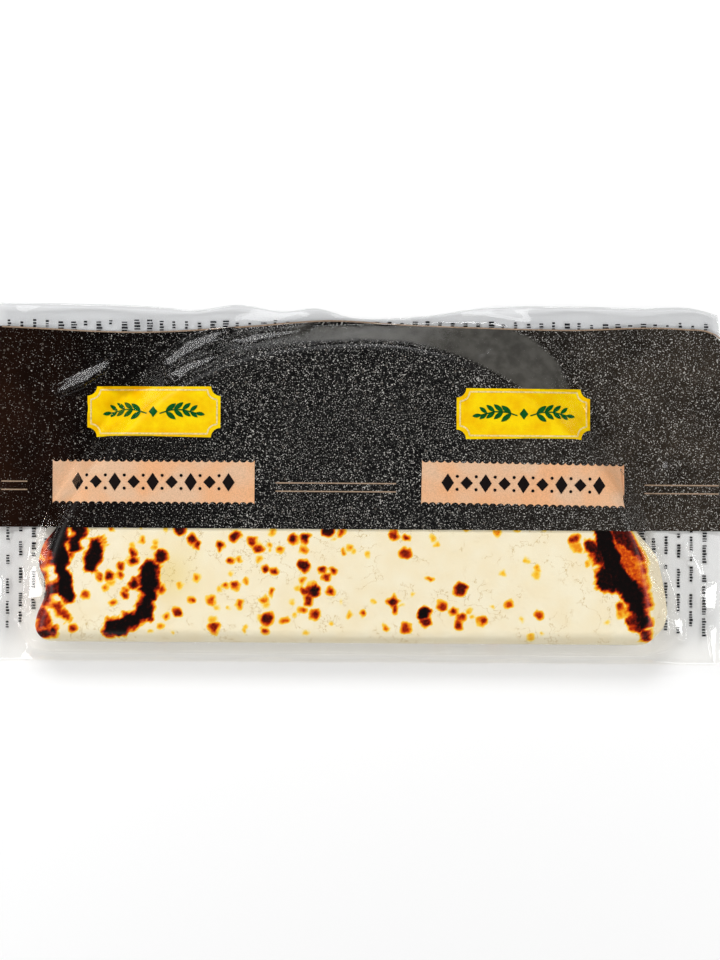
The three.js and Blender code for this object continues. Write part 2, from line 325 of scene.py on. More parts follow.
# View: straight down, turned a little as the pouch lies in the photograph
PIXEL = 0.3387  # millimetres
FRAME_PIXELS = (720, 960)
VIEW_CENTRE = (0.0, 1.35)
VIEW_PLANE = 6.0
VIEW_TURN = math.radians(0.38)
LENS = 200
SENSOR = 36
FLOOR_GAP = 0.3

# Film's look
STRAIGHT_GLOSS = 0.042  # share of light that loose film reflects straight back
MATTE_GLOSS = 0.012  # the same for matte film
GRAZING_GLOSS = 0.8  # added at grazing angles
LOOSE_ROUGHNESS = 0.06
MATTE_ROUGHNESS = 0.36
FILM_POWER = 4.0  # by which the gloss grows towards grazing angles, and the roughness towards matte places
CLEAR_TINT = (1.0, 0.998, 0.99, 1)
GREYER_TINT = (0.9, 0.903, 0.906, 1)

# Stage, in metres. Lights: name, azimuth from +X towards +Y, elevation, distance, size, radiance
LIGHTS = [
    ("key_back", 104, 38, 1.0, (0.9, 0.25), 7.7),
    ("side_left", 180, 33, 0.9, (0.5, 0.2), 9.2),
    ("side_right", 0, 33, 0.9, (0.5, 0.2), 9.2),
    ("fill_front", -90, 52, 1.4, (1.4, 0.5), 2.2),
]
LIGHT_POWER = 4  # of a square metre of light, for a radiance of 1
WORLD_STRENGTH = 0.03
FLOOR_HALF = 3.0
FLOOR_SHADE = 0.95


def smoothstep(low, high, value):
    share = np.clip((value - low) / (high - low), 0, 1)
    return share * share * (3 - 2 * share)


def bell(distance, spread):
    return np.exp(-((distance / spread) ** 2))


def bells_at(angle, rows):
    return sum(size * bell(angle - centre, spread) for centre, spread, size in rows)


def soft_max(a, b, softness):
    return (a + b + np.sqrt((a - b) ** 2 + softness**2)) / 2


def rounded_min(a, b, radius):
    """The lesser of two distances to edges, with the corner between the edges rounded."""
    corner = radius - np.hypot(np.maximum(radius - a, 0), np.maximum(radius - b, 0))
    return np.where((a < radius) & (b < radius), corner, np.minimum(a, b))


def curve_through(points, x):
    """Heights at x of a smooth curve through points in order of x."""
    px, py = np.array(points, float).T
    slope = np.gradient(py, px)
    i = np.clip(np.searchsorted(px, x) - 1, 0, len(px) - 2)
    step = px[i + 1] - px[i]
    t = np.clip((x - px[i]) / step, 0, 1)
    start = (1 + 2 * t) * (1 - t) ** 2 * py[i] + t * (1 - t) ** 2 * step * slope[i]
    return start + t**2 * (3 - 2 * t) * py[i + 1] - t**2 * (1 - t) * step * slope[i + 1]


def ripples(x, y, seed, wavelength, count=8):
    """A smooth uneven field of about unit height, as a sum of waves in seeded directions."""
    rng = np.random.default_rng(seed)
    total = np.zeros_like(x)
    for _ in range(count):
        angle = rng.uniform(0, math.pi)
        length = wavelength * rng.uniform(*RIPPLE_LENGTHS)
        phase = rng.uniform(0, 2 * math.pi)
        total += np.sin((x * math.cos(angle) + y * math.sin(angle)) * 2 * math.pi / length + phase)
    return total / math.sqrt(count)


def layered_ripples(x, y, rows, seed_shift=0):
    """Uneven fields laid over each other, by rows of seed, wavelength and size."""
    return sum(size * ripples(x, y, seed + seed_shift, length) for seed, length, size in rows)


def lengths_along(points):
    return np.concatenate([[0], np.cumsum(np.hypot(*np.diff(points, axis=0).T))])


def path_distance(x, y, path):
    """Distance to a line through points, and how far along it the nearest point is, from 0 to 1."""
    points = np.array(path, float)
    lengths = np.hypot(*np.diff(points, axis=0).T)
    starts = lengths_along(points)
    best = np.full_like(x, np.inf)
    along = np.zeros_like(x)
    for i, length in enumerate(lengths):
        way = (points[i + 1] - points[i]) / length
        t = np.clip((x - points[i, 0]) * way[0] + (y - points[i, 1]) * way[1], 0, length)
        distance = np.hypot(x - points[i, 0] - t * way[0], y - points[i, 1] - t * way[1])
        along = np.where(distance < best, (starts[i] + t) / starts[-1], along)
        best = np.minimum(distance, best)
    return best, along


# Shape of the cheese and the film over it

def round_angle(x, y):
    return np.degrees(np.arctan2(np.maximum(y - CUT_Y, 0), x - CHEESE_X))


def edge_distances(x, y):
    """Distances in from the round side and from the cut, negative outside the cheese."""
    radius = CHEESE_RADIUS - bells_at(round_angle(x, y), DENTS)
    return radius - np.hypot(x - CHEESE_X, y - CUT_Y), y - CUT_Y


def top_swell(x, y):
    return TOP_RELIEF * np.sin(x / TOP_SWELL_X + 1) * np.cos(y / TOP_SWELL_Y)


def film_section(out, reach):
    """Height of the tight film at a distance out from the cheese's edge."""
    radius = EDGE_RADIUS + FILM
    centre_z = THICKNESS - EDGE_RADIUS
    run = reach + EDGE_RADIUS
    drop = SEAM - centre_z
    leaves = np.arccos(radius / np.hypot(run, drop)) + np.arctan2(drop, run)
    touch = radius * np.cos(leaves) - EDGE_RADIUS
    touch_z = centre_z + radius * np.sin(leaves)
    over_edge = centre_z + np.sqrt(np.maximum(radius**2 - np.maximum(out + EDGE_RADIUS, 0) ** 2, 0))
    slope = touch_z + (SEAM - touch_z) * (out - touch) / (reach - touch)
    return np.where(out < touch, over_edge, soft_max(slope, SEAM, FOOT_SOFTNESS))


def fold_heights(x, y):
    total = np.zeros_like(x)
    for path, width, height in FOLDS:
        distance, along = path_distance(x, y, path)
        taper = np.sqrt(np.clip(4 * along * (1 - along), 0, 1))
        total += height * taper * np.exp(-((distance / width) ** FOLD_SHARPNESS))
    return total


def inside_outline(x, y, outline):
    """Which points lie in a closed outline, by counting crossings."""
    crossings = np.zeros(np.shape(x), bool)
    for (ax, ay), (bx, by) in zip(outline, np.roll(outline, -1, axis=0)):
        if ay != by:
            crossings ^= ((ay > y) != (by > y)) & (x < (bx - ax) * (y - ay) / (by - ay) + ax)
    return crossings


def faceted(x, y, heights):
    """The film's heights with its flat facets laid in."""
    for outline, faces, tilt, middle in FACETS:
        centre_x, centre_y = np.mean(outline, axis=0)
        distance, _ = path_distance(x, y, [*outline, outline[0]])
        depth = np.where(inside_outline(x, y, outline), distance, -distance)
        way = math.radians(faces)
        along = (x - centre_x) * math.cos(way) + (y - centre_y) * math.sin(way)
        plane = middle - math.tan(tilt) * along
        heights = heights + smoothstep(-FACET_EDGE, FACET_EDGE, depth) * (plane - heights)
    return heights


def film_layers(x, y):
    """Heights of the upper and lower film, and how far the upper one stands off what lies under it."""
    from_round, from_cut = edge_distances(x, y)
    inside = rounded_min(from_round, from_cut, CORNER_RADIUS)
    off_cut = smoothstep(-CORNER_RADIUS, CORNER_RADIUS, from_cut - from_round)
    reach = REACH_CUT + off_cut * (REACH_ROUND - REACH_CUT + bells_at(round_angle(x, y), TENTS))
    tight = film_section(-inside, reach) + top_swell(x, y) * smoothstep(0, EDGE_RADIUS, inside)
    past_foot = smoothstep(0, LIFT_FROM, -inside - reach)
    to_rim = np.minimum(HALF_LENGTH - np.abs(x), HALF_WIDTH - np.abs(y))
    waves = np.sin(2 * math.pi * x / LIFT_LENGTH_X) + np.cos(2 * math.pi * y / LIFT_LENGTH_Y)
    lift = RIM_LIFT * past_foot * np.clip(1 - to_rim / LIFT_BAND, 0, 1) ** 2 * (2 + waves) / 4
    loose = smoothstep(0, CRINKLE_FROM, -inside)
    crinkle = np.maximum(layered_ripples(x, y, CRINKLES), -DEEPEST_CRINKLE)
    upper = tight + lift + loose * (crinkle + fold_heights(x, y))
    support = np.where(inside > 0, edge_profile(inside) + top_swell(x, y), lift + SEAM / 2)
    upper = np.maximum(faceted(x, y, upper), support + np.where(inside > 0, FILM, 0))
    return upper, lift, upper - support


def edge_profile(inside):
    """Height of the cheese's shown side at a distance in from its edge."""
    short = np.clip(EDGE_RADIUS - inside, 0, EDGE_RADIUS)
    return THICKNESS - EDGE_RADIUS + np.sqrt(EDGE_RADIUS**2 - short**2)


# Meshes

def add_object(name, data):
    made = bpy.data.objects.new(name, data)
    bpy.context.scene.collection.objects.link(made)
    return made


def make_piece(name, points, faces, material, slot):
    """A smooth-shaded mesh on the one body, from points in millimetres."""
    mesh = bpy.data.meshes.new(name)
    mesh.from_pydata((np.asarray(points, float) * MM).tolist(), [], faces)
    mesh.polygons.foreach_set("use_smooth", [True] * len(mesh.polygons))
    mesh.materials.append(material)
    piece = add_object(name, mesh)
    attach(piece, "root")
    return piece


def set_attribute(piece, name, values):
    attribute = piece.data.attributes.new(name, "FLOAT", "POINT")
    attribute.data.foreach_set("value", np.asarray(values, np.float32).ravel())


def grid_faces(rows, columns, start=0, flip=False):
    """Quads of a grid of points stored row by row, facing up unless flipped."""
    low = start + np.arange(rows - 1)[:, None] * columns + np.arange(columns - 1)
    quads = np.stack([low, low + 1, low + columns + 1, low + columns], axis=-1).reshape(-1, 4)
    return (quads[:, ::-1] if flip else quads).tolist()


def grid_border(rows, columns):
    """Indices round a grid's border, counter-clockwise from its first point."""
    last = (rows - 1) * columns
    right = [r * columns + columns - 1 for r in range(1, rows - 1)]
    left = [r * columns for r in range(rows - 2, 0, -1)]
    return list(range(columns)) + right + list(range(last + columns - 1, last - 1, -1)) + left


def closed_body(x, y, upper, lower):
    """A closed surface: the upper points, every other one of the lower points, and a wall round them."""
    rows, columns = x.shape
    thin = (slice(None, None, 2), slice(None, None, 2))
    few_rows, few_columns = x[thin].shape
    points = np.concatenate([stacked(x, y, upper), stacked(x[thin], y[thin], lower[thin])])
    start = rows * columns
    faces = grid_faces(rows, columns) + grid_faces(few_rows, few_columns, start, flip=True)
    fine = grid_border(rows, columns)
    coarse = [start + i for i in grid_border(few_rows, few_columns)]
    for i, low in enumerate(coarse):
        next_low = coarse[(i + 1) % len(coarse)]
        faces.append((low, next_low, fine[(2 * i + 2) % len(fine)], fine[2 * i + 1], fine[2 * i]))
    return points, faces


def thinned(upper, lower=0):
    """Values at a closed body's points, from those of all its upper and lower points."""
    return np.concatenate([upper.ravel(), np.broadcast_to(lower, upper.shape)[::2, ::2].ravel()])


def spaced(*stretches):
    """Positions through stretches (start, end, spacing), each starting where the last one ends."""
    parts = []
    for start, end, spacing in stretches:
        count = max(int(round((end - start) / spacing)), 1)
        parts.append(np.linspace(start, end, count, endpoint=False))
    return np.concatenate(parts + [[stretches[-1][1]]])


COLUMNS = spaced(
    (-HALF_LENGTH, -END_START, FINE), (-END_START, END_START, COARSE), (END_START, HALF_LENGTH, FINE)
)


def film_plan():
    """Plan of the film as rows of points, with rows along the print's edges."""
    x = COLUMNS
    lines = [np.full_like(x, y) for y in (-HALF_WIDTH, BAND_LOW)]
    lines += [curve_through(edge, x) for edge in (BAND_TOP, TOP_EDGE)]
    rows = []
    for low, high, count in zip(lines, lines[1:], (WINDOW_ROWS, BAND_ROWS, TOP_ROWS)):
        rows += [low + (high - low) * i / count for i in range(count)]
    y = np.array(rows + [lines[-1]])
    x = np.broadcast_to(x, y.shape)
    pull = CORNER_PULL * bell(HALF_WIDTH - y, CORNER_SPREAD) * np.maximum(x / HALF_LENGTH, 0) ** CORNER_FADE
    return x - pull, y


def stacked(x, y, z):
    return np.stack([x, y, z], axis=-1).reshape(-1, 3)


def build_film(x, y, upper, lower, gap):
    """The pouch: matte where it clings to the cheese or carries print, and glossy where it is loose."""
    film = make_piece("film", *closed_body(x, y, upper, lower), film_material(), "film")
    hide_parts("pouch")
    cling = 1 - smoothstep(*CLING_GAP, gap)
    on_cheese = smoothstep(-MATTE_BLEND, 0, rounded_min(*edge_distances(x, y), CORNER_RADIUS))
    below_top = 1 - smoothstep(-MATTE_BLEND, 0, y - curve_through(BAND_TOP, x))
    on_print = smoothstep(BAND_LOW - MATTE_BLEND, BAND_LOW, y) * below_top
    matte = np.maximum(cling * on_cheese, PRINT_MATTE * on_print * smoothstep(*MATTE_FROM, x))
    set_attribute(film, "matte", thinned(matte))
    top_greying = smoothstep(*TOP_GREYING_FROM, y)
    greying = smoothstep(*GREYER_FROM, y) * (SIDE_GREYING + (1 - SIDE_GREYING) * top_greying)
    set_attribute(film, "greying", thinned(greying, greying))


def build_band(x, y, upper, gap):
    """The dark print: the band's own rows of the film, just under its surface."""
    block = slice(WINDOW_ROWS, WINDOW_ROWS + BAND_ROWS + 1)
    x, y, upper, gap = x[block], y[block], upper[block], gap[block]
    points = stacked(x, y, upper - BAND_DEPTH)
    band = make_piece("print_band", points, grid_faces(*x.shape), ink_material(), "band")
    # Where the film stands off the cheese the ink is painted lighter: a painted sheen
    angle = round_angle(x, y)
    spanned = smoothstep(*SPANNED_ANGLES[:2], angle) * (1 - smoothstep(*SPANNED_ANGLES[2:], angle))
    set_attribute(band, "standoff_sheen", smoothstep(*STANDOFF_GAP, gap) * spanned)


# Printed patches, laid on the film's surface

def fill_outline(outline, spacing):
    """Triangles over an outline, with a grid of points inside it so that they can follow the film."""
    outline = np.asarray(outline, float)
    low, high = outline.min(0), outline.max(0)
    lines = [np.arange(start + spacing / 2, end, spacing) for start, end in zip(low, high)]
    grid = np.stack(np.meshgrid(*lines), -1).reshape(-1, 2)
    grid = grid[inside_outline(*grid.T, outline)]
    count = len(outline)
    edges = [(i, (i + 1) % count) for i in range(count)]
    points = [Vector(p) for p in np.concatenate([outline, grid])]
    points, _, faces, *_ = delaunay_2d_cdt(points, edges, [], 1, 1e-5)
    points = np.array([tuple(p) for p in points])
    middles = np.array([points[list(face)].mean(0) for face in faces])
    faces = [tuple(face) for face, keep in zip(faces, inside_outline(*middles.T, outline)) if keep]
    return points, faces


def build_patches(name, outlines, depth, material, slot, spacing=0.7):
    """One piece of printed patches, which follow the film a little below its surface."""
    parts, faces, start = [], [], 0
    for outline in outlines:
        points, triangles = fill_outline(outline, spacing)
        parts.append(points)
        faces += [tuple(i + start for i in triangle) for triangle in triangles]
        start += len(points)
    x, y = np.concatenate(parts).T
    upper, _, _ = film_layers(x, y)
    return make_piece(name, stacked(x, y, upper - depth), faces, material, slot)


def moved(outline, centre, turn=0.0):
    """An outline turned about its origin and put at a centre."""
    x, y = np.asarray(outline, float).T
    c, s = math.cos(turn), math.sin(turn)
    return np.stack([centre[0] + c * x - s * y, centre[1] + s * x + c * y], axis=-1)


def notched_plaque(width, height, notch, steps=8):
    """A rectangle whose corners are taken off by quarter circles, counter-clockwise."""
    outline = []
    for corner, (sx, sy) in enumerate([(1, 1), (-1, 1), (-1, -1), (1, -1)]):
        for i in range(steps + 1):
            angle = math.pi / 2 * (corner - 1 - i / steps)
            x = sx * width / 2 + notch * math.cos(angle)
            y = sy * height / 2 + notch * math.sin(angle)
            outline.append((x, y))
    return outline


def scalloped_strip(width, height, count, steps=8):
    """A strip whose long edges are a row of small bites."""
    pitch = width / count
    edge = []
    for i in range(count * steps + 1):
        x = -width / 2 + i * pitch / steps
        wave = abs(math.sin(math.pi * i / steps))
        edge.append((x, height / 2 - SCALLOP_BITE * wave**SCALLOP_POWER))
    return [(x, -y) for x, y in edge] + edge[::-1]


def circle(diameter, steps=12):
    angles = [2 * math.pi * i / steps for i in range(steps)]
    return [(diameter / 2 * math.cos(angle), diameter / 2 * math.sin(angle)) for angle in angles]


def lozenge(half_width, half_height):
    return [(half_width, 0), (0, half_height), (-half_width, 0), (0, -half_height)]


def leaf(length, width, steps=9):
    """A pointed leaf from the origin along +X."""
    bulge = [math.sin(math.pi * i / steps) ** LEAF_POWER for i in range(steps + 1)]
    edge = [(length * i / steps, width / 2 * share) for i, share in enumerate(bulge)]
    return [(x, -y) for x, y in edge[:-1]] + [(x, y) for x, y in edge[:0:-1]]


def ribbon(path, width, step=1.0):
    """Outline of a thin line along a path of points."""
    path = np.array(path, float)
    lengths = lengths_along(path)
    stops = np.linspace(0, lengths[-1], max(int(lengths[-1] / step), 1) + 1)
    line = np.stack([np.interp(stops, lengths, path[:, axis]) for axis in (0, 1)], axis=-1)
    way = np.gradient(line, axis=0)
    normal = np.stack([-way[:, 1], way[:, 0]], axis=-1) / np.hypot(*way.T)[:, None] * width / 2
    return np.concatenate([line - normal, (line + normal)[::-1]])


def build_badges():
    width, height = BADGE_SIZE
    plaque = notched_plaque(width, height, BADGE_NOTCH)
    plaques = [moved(plaque, centre) for centre in BADGE_CENTRES]
    build_patches("print_badges", plaques, STRIP_DEPTH, badge_material(), "badge")
    inset = notched_plaque(width - 2 * BADGE_INSET, height - 2 * BADGE_INSET, BADGE_NOTCH)
    closed = inset + inset[:1]
    lines = [ribbon(moved(closed, centre), BADGE_LINE, BADGE_LINE) for centre in BADGE_CENTRES]
    build_patches("print_badge_lines", lines, MOTIF_DEPTH, plain_ink("badge_line", BADGE_LINE_INK), "badge")


def sprig_outlines():
    """A garland: leaves in pairs along two curved stems that meet at a lozenge."""
    outlines = [lozenge(*SPRIG_LOZENGE)]
    for side in (1, -1):
        outlines.append(ribbon([(side * x, y) for x, y in SPRIG_STEM], STEM_WIDTH))
        blades = [moved(leaf(*TIP_LEAF), TIP_PLACE, TIP_TURN)]
        for i, place in enumerate(SPRIG_LEAVES):
            length, width = (size - i * less for size, less in zip(LEAF_SIZE, LEAF_SHRINK))
            blades += [moved(leaf(length, width), place, turn) for turn in (LEAF_TURN, -LEAF_TURN)]
        outlines += [blade * (side, 1) for blade in blades]
    return outlines


def build_sprigs():
    outlines = [moved(outline, centre) for centre in BADGE_CENTRES for outline in sprig_outlines()]
    build_patches("print_sprigs", outlines, MOTIF_DEPTH, plain_ink("sprig_ink", SPRIG_INK), "sprig")


def strip_motifs():
    """A row of lozenges, tall and short in turn, with a dot above and below each gap."""
    motifs = []
    for i in range(-MOTIFS_EACH_SIDE, MOTIFS_EACH_SIDE + 1):
        motifs.append(moved(lozenge(MOTIF_HALF_WIDTH, MOTIF_HALF_HEIGHTS[i % 2]), (MOTIF_PITCH * i, 0)))
    for i in range(-MOTIFS_EACH_SIDE, MOTIFS_EACH_SIDE):
        motifs += [moved(circle(DOT_SIZE), (MOTIF_PITCH * (i + 0.5), y)) for y in (-DOT_Y, DOT_Y)]
    return motifs


def build_strips():
    strip = scalloped_strip(*STRIP_SIZE, SCALLOPS)
    strips = [moved(strip, *place) for place in STRIP_PLACES]
    build_patches("print_strips", strips, STRIP_DEPTH, strip_material(), "strip")
    motifs = [moved(motif, *place) for place in STRIP_PLACES for motif in strip_motifs()]
    build_patches("print_motifs", motifs, MOTIF_DEPTH, plain_ink("motif_ink", MOTIF_INK), "band")


def build_rules():
    lines = []
    for shift in (-REPEAT, 0, REPEAT):
        start = max(RULE_START + shift, -HALF_LENGTH + RULE_MARGIN)
        end = min(RULE_END + shift, HALF_LENGTH - RULE_MARGIN)
        lines += [ribbon([(start, y), (end, y)], RULE_WIDTH) for y in RULE_Y]
    x = COLUMNS[EDGE_LINE_COLUMNS]
    edge = np.stack([x, curve_through(BAND_TOP, x) - EDGE_LINE_DROP], axis=-1)
    lines.append(ribbon(edge, EDGE_LINE_WIDTH))
    build_patches("print_rules", lines, RULE_DEPTH, plain_ink("rule_ink", RULE_INK), "rule")


def build_back_print():
    """Columns of short bars on the lower film, of the size of small print but without any letters."""
    rng = np.random.default_rng(BACK_PRINT_SEED)
    corners = []
    low, high = BACK_PRINT_RANGE
    end = HALF_LENGTH - BACK_PRINT_MARGIN
    for x in np.arange(-end, end, BACK_PRINT_PITCH):
        tall = rng.choice(BAR_HEIGHTS)
        y = high + rng.uniform(-BAR_GAP, 2 * BAR_GAP)
        while y > low:
            for _ in range(rng.integers(*WORD_BARS)):
                long = rng.uniform(*BAR_LENGTHS)
                right = x + tall * rng.uniform(*BAR_SHARES)
                corners += [(x, y - long), (right, y - long), (right, y), (x, y)]
                y -= long + BAR_GAP
            y -= rng.uniform(*WORD_GAPS)
    x, y = np.array(corners).T
    _, lower, _ = film_layers(x, y)
    faces = np.arange(len(x)).reshape(-1, 4).tolist()
    points = stacked(x, y, lower + BACK_PRINT_RISE)
    make_piece("print_back", points, faces, plain_ink("back_ink", BACK_INK), "band")


# Cheese

def cheese_plan():
    """Plan of the cheese before its dents, as rows from the cut upward, and each point's distance in."""
    corner = CORNER_RADIUS * (1 - np.cos(np.radians(CORNER_ANGLES)))
    flat_top = CHEESE_RADIUS * math.sin(math.radians(FLAT_TOP_ANGLE))
    shown = np.linspace(FIRST_SHOWN, SHOWN_DEPTH, SHOWN_ROWS)
    first_hidden = math.degrees(math.asin(SHOWN_DEPTH / CHEESE_RADIUS)) + ROW_GAP
    hidden = CHEESE_RADIUS * np.sin(np.radians(np.linspace(first_hidden, FLAT_TOP_ANGLE, HIDDEN_ROWS)))
    rise = np.concatenate([corner, shown, hidden])
    ends = np.array(END_COLUMNS) / CHEESE_RADIUS
    inner = 1 - EDGE_RADIUS / CHEESE_RADIUS
    across = np.concatenate([-1 + ends, np.linspace(-inner, inner, MIDDLE_COLUMNS), (1 - ends)[::-1]])
    corner_x = math.sqrt((CHEESE_RADIUS - CORNER_RADIUS) ** 2 - CORNER_RADIUS**2)
    fillet = corner_x + np.sqrt(CORNER_RADIUS**2 - np.maximum(CORNER_RADIUS - rise, 0) ** 2)
    half = np.minimum(np.sqrt(CHEESE_RADIUS**2 - rise**2), fillet)
    x = half[:, None] * across
    y = np.broadcast_to(rise[:, None], x.shape)
    from_round = np.minimum(CHEESE_RADIUS - np.hypot(x, y), flat_top - y)
    inside = np.maximum(rounded_min(from_round, y, CORNER_RADIUS), 0)
    inside[0], inside[-1], inside[:, 0], inside[:, -1] = 0, 0, 0, 0
    return x, y, inside


def pressed_in(x, y):
    """Moves points of the round side in by its dents, and puts the cheese in its place."""
    share = np.hypot(x, y) / CHEESE_RADIUS
    dents = bells_at(np.degrees(np.arctan2(y, x)), DENTS) * share**DENT_FADE
    scale = 1 - (dents + CLEARANCE) / CHEESE_RADIUS
    return CHEESE_X + x * scale, CUT_Y + CLEARANCE + y * scale


def spread_foot(x, y, plan_x, plan_y):
    """Moves points near the ends of the round side outward, and says how far in from it each one was."""
    from_round = np.maximum(CHEESE_RADIUS - np.hypot(plan_x, plan_y), 0)
    near_edge = np.clip(1 - from_round / EDGE_RADIUS, 0, 1) ** 2
    angle = np.degrees(np.arctan2(plan_y, np.abs(plan_x)))
    for end, comes, goes, size in FOOT_SPREAD:
        whole = size * smoothstep(*comes, angle) * (1 - smoothstep(*goes, angle))
        share = np.where(end * plan_x > 0, whole * near_edge, 0) / CHEESE_RADIUS
        x, y = x + plan_x * share, y + plan_y * share
    return x, y, from_round


def browned(depth, heat, glow):
    """Browning at a depth inside a toasted place's edge, negative outside it."""
    outside, within = glow
    return heat * np.clip((depth + outside) / (outside + within), 0, 1)


def path_depth(x, y, path):
    """Depth inside the edge of a line of points (x, y, half width)."""
    stations = np.array(path)
    distance, along = path_distance(x, y, stations[:, :2])
    lengths = lengths_along(stations[:, :2])
    return np.interp(along, lengths / lengths[-1], stations[:, 2]) - distance


def uneven_place(x, y):
    """Points moved a little this way and that, so that what is drawn at them has ragged edges."""
    wander_y = layered_ripples(x, y, WANDER, WANDER_SEED_SHIFT)
    return x + layered_ripples(x, y, WANDER), y + wander_y


def seeded_spots(count, seed, largest, heats):
    """Round spots scattered over the whole half-round, as rows like SPOTS."""
    rng = np.random.default_rng(seed)
    spots = []
    while len(spots) < count:
        x = rng.uniform(-CHEESE_RADIUS, CHEESE_RADIUS)
        y = rng.uniform(SPOT_MARGIN, CHEESE_RADIUS)
        size = LEAST_SPOT + largest * rng.beta(*SPOT_SPREAD)
        heat = rng.uniform(*heats)
        if math.hypot(x, y) < CHEESE_RADIUS - SPOT_MARGIN:
            spots.append((CHEESE_X + x, CUT_Y + y, size, heat))
    return spots


def browning(x, y, spots, chars):
    """How browned each point is: 0 is plain, 1 is charred."""
    x, y = uneven_place(x, y)
    ragged = layered_ripples(x, y, CHAR_RAGGED)
    total = np.zeros_like(x)
    for spot_x, spot_y, size, heat in spots:
        depth = size - np.hypot(x - spot_x, y - spot_y) + SPOT_RAGGED * ragged
        total = np.maximum(total, browned(depth, heat, SPOT_GLOW))
    for heat, path in chars:
        total = np.maximum(total, browned(path_depth(x, y, path) + ragged, heat, CHAR_GLOW))
    return total


def shown_side_browning(x, y, from_round):
    """Browning of the shown side, and how far each point is in its pale rim."""
    hidden = [spot for spot in seeded_spots(*HIDDEN_SPOTS) if spot[1] > HIDDEN_FROM]
    heat = browning(x, y, SPOTS + hidden + seeded_spots(*FAINT_SPOTS), CHARS)
    pale_rim = smoothstep(*PALE_RIM_FROM, x) * (1 - smoothstep(*PALE_RIM_WIDTH, from_round))
    return heat * smoothstep(*CUT_FADE, y - CUT_Y) * (1 - pale_rim), pale_rim


def build_cheese():
    plan_x, plan_y, inside = cheese_plan()
    x, y, from_round = spread_foot(*pressed_in(plan_x, plan_y), plan_x, plan_y)
    pits = PIT_DEPTH * np.minimum(layered_ripples(x, y, PITS), PIT_TOP)
    shown = edge_profile(inside) - CLEARANCE + (top_swell(x, y) + pits) * smoothstep(0, EDGE_RADIUS, inside)
    short = np.clip(UNDER_RADIUS - inside, 0, UNDER_RADIUS)
    under = CHEESE_BASE + UNDER_RADIUS - np.sqrt(UNDER_RADIUS**2 - short**2)
    film, _, _ = film_layers(x, y)
    shown = np.maximum(np.minimum(shown, film - UNDER_FILM), under + UNDER_FILM)
    cheese = make_piece("cheese", *closed_body(x, y, shown, under), cheese_material(), "cheese")
    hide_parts("pouch")
    heat, pale_rim = shown_side_browning(x, y, from_round)
    under_heat = browning(x, y, seeded_spots(*UNDER_SPOTS), [])
    set_attribute(cheese, "browning", thinned(heat, under_heat))
    patch_x, patch_y, patch_radius = YELLOW_PATCH
    patch = bell(np.hypot(x - patch_x, y - patch_y), patch_radius)
    set_attribute(cheese, "yellowing", thinned(patch))
    set_attribute(cheese, "paleness", thinned(pale_rim))


# Materials

def srgb(*rgb):
    """A colour read on screen, 0 to 255, as the linear values that shaders take."""
    share = np.array(rgb) / 255
    linear = np.where(share <= 0.04045, share / 12.92, ((share + 0.055) / 1.055) ** 2.4)
    return (*linear.tolist(), 1.0)


def new_material(name):
    material = bpy.data.materials.new(name)
    material.use_nodes = True
    material.node_tree.nodes.clear()
    return material, material.node_tree


def node(tree, kind, inputs=None, **settings):
    """A shader node with its settings, and its inputs set to values or linked to sockets."""
    made = tree.nodes.new(kind)
    for name, value in settings.items():
        setattr(made, name, value)
    for key, value in (inputs or {}).items():
        if isinstance(value, bpy.types.NodeSocket):
            tree.links.new(value, made.inputs[key])
        else:
            made.inputs[key].default_value = value
    return made


def maths(tree, operation, *values):
    return node(tree, "ShaderNodeMath", dict(enumerate(values)), operation=operation).outputs[0]


def from_range(tree, value, low, high):
    """A value between low and high as a share from 0 to 1."""
    return node(tree, "ShaderNodeMapRange", {"Value": value, "From Min": low, "From Max": high}).outputs[0]


def ramp(tree, factor, *stops):
    """A colour ramp through stops (position, colour)."""
    made = node(tree, "ShaderNodeValToRGB", {"Fac": factor})
    elements = made.color_ramp.elements
    while len(elements) < len(stops):
        elements.new(1.0)
    for element, (position, colour) in zip(elements, stops):
        element.position = position
        element.color = colour
    return made.outputs["Color"]


def mix_colour(tree, factor, a, b, blend="MIX"):
    inputs = {0: factor, 6: a, 7: b}
    return node(tree, "ShaderNodeMix", inputs, data_type="RGBA", blend_type=blend).outputs[2]


def place_in_mm(tree):
    """Where a point is in the part's frame, in millimetres."""
    place = node(tree, "ShaderNodeTexCoord").outputs["Object"]
    return node(tree, "ShaderNodeVectorMath", {0: place, "Scale": 1 / MM}, operation="SCALE").outputs[0]


def noise(tree, place, scale, detail=2.0, roughness=0.5):
    inputs = {"Vector": place, "Scale": scale, "Detail": detail, "Roughness": roughness}
    return node(tree, "ShaderNodeTexNoise", inputs).outputs["Fac"]


def grey(value):
    return (value, value, value, 1)


def mottled(tree, place, low, high, scale, detail=3.0, roughness=0.5):
    """A colour that wanders between two stops (position, colour)."""
    return ramp(tree, noise(tree, place, scale, detail, roughness), low, high)


def hairlines(tree, place, width, scale, detail, roughness):
    """Thin wandering lines: 1 along the middle of each, and 0 where the noise is a width away."""
    wander = maths(tree, "SUBTRACT", noise(tree, place, scale, detail, roughness), 0.5)
    return from_range(tree, maths(tree, "ABSOLUTE", wander), width, 0.0)


def attribute(tree, name):
    return node(tree, "ShaderNodeAttribute", attribute_name=name).outputs["Fac"]


def bump(tree, height, strength, distance):
    inputs = {"Height": height, "Strength": strength, "Distance": distance * MM}
    return node(tree, "ShaderNodeBump", inputs).outputs["Normal"]


def surface(tree, shader):
    node(tree, "ShaderNodeOutputMaterial", {"Surface": shader})


